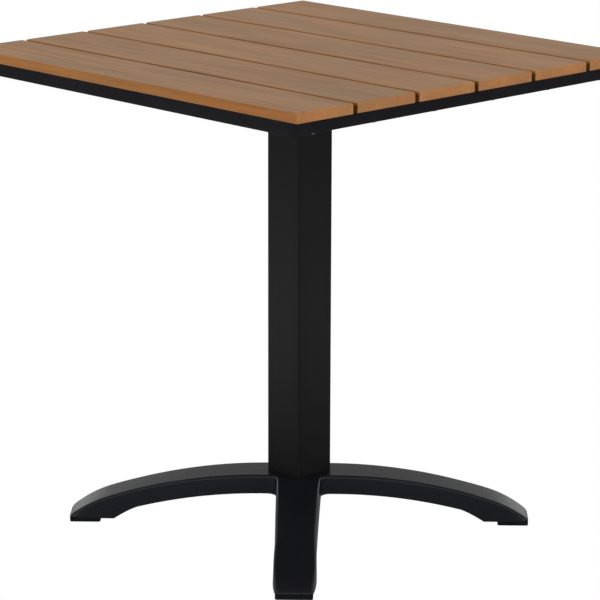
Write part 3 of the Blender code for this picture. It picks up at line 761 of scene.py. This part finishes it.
def fill_cross(bm):
    """Build all four arms by turning the first one, and weld them where they meet."""
    arm = mesh_from(fill_arm)
    for quarter in range(4):
        first = len(bm.verts)
        bm.from_mesh(arm)
        bm.verts.ensure_lookup_table()
        turn = Matrix.Rotation(math.radians(90 * quarter), 4, "Z")
        bmesh.ops.transform(bm, matrix=turn, verts=bm.verts[first:])
    bmesh.ops.remove_doubles(bm, verts=bm.verts, dist=2 * MERGE_DISTANCE)


def fill_pockets(bm):
    """Build the hollows under the arms: two rows in each arm, with a rib along its middle."""
    for start, end in POCKET_SPANS:
        pitch = (end - start) / POCKET_ROOF_STEPS
        reaches = [start + pitch * step for step in range(POCKET_ROOF_STEPS + 1)]
        roof = [(reach, crown_height(reach) - CASTING_WALL) for reach in reversed(reaches)]
        outline = [(start, 0), (end, 0)] + roof
        inner = RIB_THICKNESS / 2
        outer = half_width(end) - WALL_DRAFT - CASTING_WALL
        for quarter in range(4):
            turn = Matrix.Rotation(math.radians(ARM_ANGLE + 90 * quarter), 4, "Z")
            stand = turn @ Matrix.Rotation(math.radians(90), 4, "X")
            for near, far in ((inner, outer), (-outer, -inner)):
                first = len(bm.verts)
                add_prism(bm, outline, near, far)
                bm.verts.ensure_lookup_table()
                bmesh.ops.transform(bm, matrix=stand, verts=bm.verts[first:])


def on_arms(reach, side=0):
    """Return the places at one reach and side of all four arms."""
    places = []
    for quarter in range(4):
        turn = Matrix.Rotation(math.radians(ARM_ANGLE + 90 * quarter), 2)
        places.append(turn @ Vector((reach, side)))
    return places


def make_base():
    """Make the cast base, with its pockets, bores and foot holes below."""
    base = subtract(mesh_from(fill_cross), mesh_from(fill_pockets))
    boss_bottom = HUB_TOP - HUB_BOSS_DEPTH
    ports = [(sx * PORT_OFFSET, sy * PORT_OFFSET) for sx, sy in CORNERS]

    def recesses(bm):
        for port in ports:
            add_prism(bm, circle(SEAT_RADIUS, centre=port), 0, boss_bottom)
        add_prism(bm, circle(HUB_CORE_RADIUS), 0, boss_bottom)
        for place in on_arms(PAD_REACH):
            add_prism(bm, circle(FOOT_BORE_RADIUS, centre=place), 0, TIP_UNDERSIDE + FOOT_BORE_DEPTH)
        for side in (PEG_OFFSET, -PEG_OFFSET):
            for place in on_arms(PAD_REACH, side):
                outline = circle(PEG_RADIUS + CLEARANCE, centre=place)
                add_prism(bm, outline, 0, PAD_HEIGHT + PEG_HOLE_DEPTH)

    base = subtract(base, mesh_from(recesses))
    add_piece("cast_cross", base, CAST_COAT, ["cross_base"])


# Levelling feet

def make_feet():
    """Make each foot: a pad with its guide pegs, and the screw that turns in it."""
    for number, place in enumerate(on_arms(PAD_REACH), start=1):
        angle = math.radians(ARM_ANGLE + 90 * (number - 1))
        turn = Matrix.Translation((*place, 0)) @ Matrix.Rotation(angle, 4, "Z")

        def block(bm):
            outline = rounded_rectangle(PAD_LENGTH, PAD_WIDTH, PAD_CORNER_RADIUS)
            ends = add_prism(bm, outline, 0, PAD_HEIGHT)
            round_edges(bm, ends, PAD_EDGE_RADIUS, SMALL_EDGE_STEPS)

        def hollow(bm):
            add_prism(bm, circle(FOOT_KEY_RADIUS), -OVERLAP, PAD_FLOOR + OVERLAP / 2)
            add_prism(bm, circle(FOOT_HEAD_RADIUS + CLEARANCE), PAD_FLOOR, CHAMBER_TOP)
            neck = circle(FOOT_NECK_RADIUS)
            add_prism(bm, neck, CHAMBER_TOP - OVERLAP / 2, PAD_HEIGHT + OVERLAP)

        pad = subtract(mesh_from(block), mesh_from(hollow))

        def with_pegs(bm, pad=pad, turn=turn):
            bm.from_mesh(pad)
            tip = PAD_HEIGHT + PEG_LENGTH
            profile = (
                (0, tip), (PEG_RADIUS - PEG_CHAMFER, tip), (PEG_RADIUS, tip - PEG_CHAMFER),
                (PEG_RADIUS, PAD_HEIGHT - OVERLAP), (0, PAD_HEIGHT - OVERLAP),
            )
            for side in (PEG_OFFSET, -PEG_OFFSET):
                add_turned(bm, profile, centre=(0, side))
            bmesh.ops.transform(bm, matrix=turn, verts=bm.verts)

        name = f"foot_pad_{number}"
        body = f"levelling_pad_{number}"
        add_piece(f"glide_{number}", mesh_from(with_pegs), PAD_PLASTIC, [name], body)
        make_foot_screw(number, place)


def threaded(radius, bottom, top):
    """Return the profile of a shank whose thread is a row of rings, from its top down."""
    profile = []
    turns = int((top - bottom) / THREAD_PITCH)
    for turn in range(turns):
        root = top - turn * THREAD_PITCH
        profile.append((radius - THREAD_DEPTH, root))
        profile += [(radius, root - share * THREAD_PITCH) for share in THREAD_CREST]
    return profile + [(radius - THREAD_DEPTH, top - turns * THREAD_PITCH)]


def make_foot_screw(number, place):
    """Make a levelling screw, with a hexagon socket under its head."""
    low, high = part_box(f"foot_screw_{number}")
    shank = threaded(FOOT_SCREW_RADIUS, FOOT_HEAD_TOP + THREAD_NECK, high.z)

    def fill(bm):
        profile = [(0, high.z)] + shank + [
            (FOOT_SCREW_RADIUS - THREAD_DEPTH, FOOT_HEAD_TOP),
            (FOOT_HEAD_RADIUS - SCREW_EDGE, FOOT_HEAD_TOP),
            (FOOT_HEAD_RADIUS, FOOT_HEAD_TOP - SCREW_EDGE),
            (FOOT_HEAD_RADIUS, low.z), (0, low.z),
        ]
        add_turned(bm, profile)

    def socket(bm):
        outline = circle(FOOT_SOCKET_RADIUS, HEXAGON)
        add_prism(bm, outline, low.z - OVERLAP, low.z + FOOT_SOCKET_DEPTH)

    screw = subtract(mesh_from(fill), mesh_from(socket))
    screw.transform(Matrix.Translation((*place, 0)))
    name = f"foot_screw_{number}"
    body = f"levelling_screw_{number}"
    add_piece(f"foot_stud_{number}", screw, ZINC, [name], body)


# Fasteners

def make_slat_screws():
    """Make the pan-head screws under the slats, with a cross recess."""
    low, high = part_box("slat_screw_1_1")
    head_top = low.z + PAN_HEAD_HEIGHT

    def fill(bm):
        profile = [
            (0, high.z), (SLAT_SCREW_RADIUS, high.z - SLAT_SCREW_POINT),
            (SLAT_SCREW_RADIUS, head_top), (PAN_HEAD_RADIUS, head_top),
        ]
        profile += [(share * PAN_HEAD_RADIUS, low.z + height) for share, height in PAN_HEAD]
        add_turned(bm, profile)

    def recess(bm):
        for x, y in (CROSS_SIZE, CROSS_SIZE[::-1]):
            add_box(bm, (-x, -y, low.z - OVERLAP), (x, y, low.z + CROSS_DEPTH))

    screw = subtract(mesh_from(fill), mesh_from(recess))
    slat_turn, row_turn = SLAT_SCREW_TURNS
    for slat in range(1, SLAT_COUNT + 1):
        for row in range(1, SLAT_SCREW_ROWS + 1):
            name = f"slat_screw_{slat}_{row}"
            low_corner, high_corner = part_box(name)
            centre = (low_corner + high_corner) / 2
            mesh = screw.copy()
            turn = Matrix.Rotation(math.radians(slat_turn * slat + row_turn * row), 4, "Z")
            mesh.transform(Matrix.Translation((centre.x, centre.y, 0)) @ turn)
            add_piece(f"pan_screw_{slat}_{row}", mesh, ZINC, [name])


def bolt_mesh(low, high, head_below):
    """Return a socket-head bolt on the Z axis between two heights."""
    length = high - low

    def fill(bm):
        head = BOLT_HEAD_HEIGHT
        profile = [(0, length)] + threaded(BOLT_RADIUS, head + THREAD_NECK, length) + [
            (BOLT_RADIUS, head + THREAD_NECK / 2), (BOLT_RADIUS, head),
            (BOLT_HEAD_RADIUS - SCREW_EDGE, head), (BOLT_HEAD_RADIUS, head - SCREW_EDGE),
            (BOLT_HEAD_RADIUS, BOLT_HEAD_CHAMFER), (BOLT_HEAD_RADIUS - BOLT_HEAD_CHAMFER, 0), (0, 0),
        ]
        add_turned(bm, profile)

    def socket(bm):
        add_prism(bm, circle(BOLT_SOCKET_RADIUS, HEXAGON), -OVERLAP, BOLT_SOCKET_DEPTH)

    mesh = subtract(mesh_from(fill), mesh_from(socket))
    if head_below:
        mesh.transform(Matrix.Translation((0, 0, low)))
    else:
        flip = Matrix.Rotation(math.pi, 4, "X")
        mesh.transform(Matrix.Translation((0, 0, high)) @ flip)
    return mesh


def make_bolts():
    """Make the bolts of the mounting plate, the column and the base."""
    kinds = (
        ("plate_bolt", True, BLACK_ZINC), ("column_screw", False, ZINC), ("base_screw", True, ZINC),
    )
    for kind, head_below, finish in kinds:
        for number in range(1, BOLT_COUNT + 1):
            name = f"{kind}_{number}"
            low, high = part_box(name)
            centre = (low + high) / 2
            mesh = bolt_mesh(low.z, high.z, head_below)
            turn = Matrix.Rotation(math.radians(BOLT_TURN * number), 4, "Z")
            mesh.transform(Matrix.Translation((centre.x, centre.y, 0)) @ turn)
            add_piece(f"{kind}_{number}_socket_head", mesh, finish, [name])


# Studio

def make_camera():
    """Make the camera, placed by its angles round the table and its distance."""
    azimuth, pitch, roll = (math.radians(a) for a in (CAMERA_AZIMUTH, CAMERA_PITCH, CAMERA_ROLL))
    back = Vector((
        math.sin(azimuth) * math.cos(pitch), -math.cos(azimuth) * math.cos(pitch), math.sin(pitch),
    ))
    right = Vector((math.cos(azimuth), math.sin(azimuth), 0))
    up = back.cross(right)
    rolled_right = right * math.cos(roll) + up * math.sin(roll)
    rolled_up = up * math.cos(roll) - right * math.sin(roll)
    place = Vector((0, 0, AIM_HEIGHT)) + right * AIM_RIGHT + back * CAMERA_DISTANCE
    data = bpy.data.cameras.new("camera")
    data.sensor_width = SENSOR_WIDTH
    data.lens = CAMERA_LENS
    data.clip_end = 100
    camera = bpy.data.objects.new("camera", data)
    bpy.context.scene.collection.objects.link(camera)
    turn = Matrix((rolled_right, rolled_up, back)).transposed().to_4x4()
    camera.matrix_world = Matrix.Translation(place) @ turn
    bpy.context.scene.camera = camera


def make_floor():
    """Make a plain floor just below the feet at full travel, clear when seen from below.

    The camera sees it pure white. The light that it gives the table forms a pool round the base.
    """

    def plane(bm):
        bmesh.ops.create_grid(bm, x_segments=1, y_segments=1, size=FLOOR_REACH)

    mesh = mesh_from(plane)
    floor = bpy.data.objects.new("floor", mesh)
    floor.location.z = -FLOOR_DROP
    bpy.context.scene.collection.objects.link(floor)
    material, tree, shader = new_material("floor_white", (0.8,) * 3, roughness=0.9, specular=0.0)
    coordinates = tree.nodes.new("ShaderNodeTexCoord")
    distance = tree.nodes.new("ShaderNodeVectorMath")
    distance.operation = "LENGTH"
    tree.links.new(coordinates.outputs["Object"], distance.inputs[0])
    share = spread(tree, distance.outputs["Value"], 0, 1, 0, FLOOR_POOL_RADIUS)
    pool = ramp(tree, share, greys(FLOOR_POOL))
    tree.links.new(pool, shader.inputs["Base Color"])
    tree.links.new(pool, shader.inputs["Emission Color"])
    across = tree.nodes.new("ShaderNodeVectorMath")
    across.operation = "DOT_PRODUCT"
    across.inputs[1].default_value = FLOOR_GLOW_AXIS
    tree.links.new(coordinates.outputs["Object"], across.inputs[0])
    strength = spread(tree, across.outputs["Value"], FLOOR_GLOW_LEFT, FLOOR_GLOW_RIGHT, -1, 1)
    tree.links.new(strength, shader.inputs["Emission Strength"])
    glow = tree.nodes.new("ShaderNodeEmission")
    clear = tree.nodes.new("ShaderNodeBsdfTransparent")
    path = tree.nodes.new("ShaderNodeLightPath")
    geometry = tree.nodes.new("ShaderNodeNewGeometry")
    seen = tree.nodes.new("ShaderNodeMixShader")
    side = tree.nodes.new("ShaderNodeMixShader")
    tree.links.new(path.outputs["Is Camera Ray"], seen.inputs["Fac"])
    tree.links.new(shader.outputs["BSDF"], seen.inputs[1])
    tree.links.new(glow.outputs["Emission"], seen.inputs[2])
    tree.links.new(geometry.outputs["Backfacing"], side.inputs["Fac"])
    tree.links.new(seen.outputs["Shader"], side.inputs[1])
    tree.links.new(clear.outputs["BSDF"], side.inputs[2])
    tree.links.new(side.outputs["Shader"], tree.nodes["Material Output"].inputs["Surface"])
    mesh.materials.append(material)


def make_world():
    """Make the studio's soft light: a white background, and a sky brightest at the horizon."""
    world = bpy.data.worlds.new("studio")
    world.use_nodes = True
    tree = world.node_tree
    coordinates = tree.nodes.new("ShaderNodeTexCoord")
    parts = tree.nodes.new("ShaderNodeSeparateXYZ")
    tree.links.new(coordinates.outputs["Generated"], parts.inputs["Vector"])
    height = spread(tree, parts.outputs["Z"], 0, 1, -1, 1)
    lamp = tree.nodes["Background"]
    tree.links.new(ramp(tree, height, greys(SKY_BANDS)), lamp.inputs["Color"])
    towards = tree.nodes.new("ShaderNodeVectorMath")
    towards.operation = "DOT_PRODUCT"
    azimuth = math.radians(CAMERA_AZIMUTH)
    towards.inputs[1].default_value = (math.sin(azimuth), -math.cos(azimuth), 0)
    tree.links.new(coordinates.outputs["Generated"], towards.inputs[0])
    strength = spread(tree, towards.outputs["Value"], SKY_BACK, SKY_FRONT, -1, 1)
    tree.links.new(strength, lamp.inputs["Strength"])
    backdrop = tree.nodes.new("ShaderNodeBackground")
    backdrop.inputs["Color"].default_value = (1, 1, 1, 1)
    path = tree.nodes.new("ShaderNodeLightPath")
    seen = tree.nodes.new("ShaderNodeMixShader")
    tree.links.new(path.outputs["Is Camera Ray"], seen.inputs["Fac"])
    tree.links.new(lamp.outputs["Background"], seen.inputs[1])
    tree.links.new(backdrop.outputs["Background"], seen.inputs[2])
    tree.links.new(seen.outputs["Shader"], tree.nodes["World Output"].inputs["Surface"])
    bpy.context.scene.world = world
    bpy.context.scene.view_settings.view_transform = "Standard"


make_slats()
make_frame()
make_supports()
make_column()
make_base()
make_feet()
make_slat_screws()
make_bolts()
make_camera()
make_floor()
make_world()
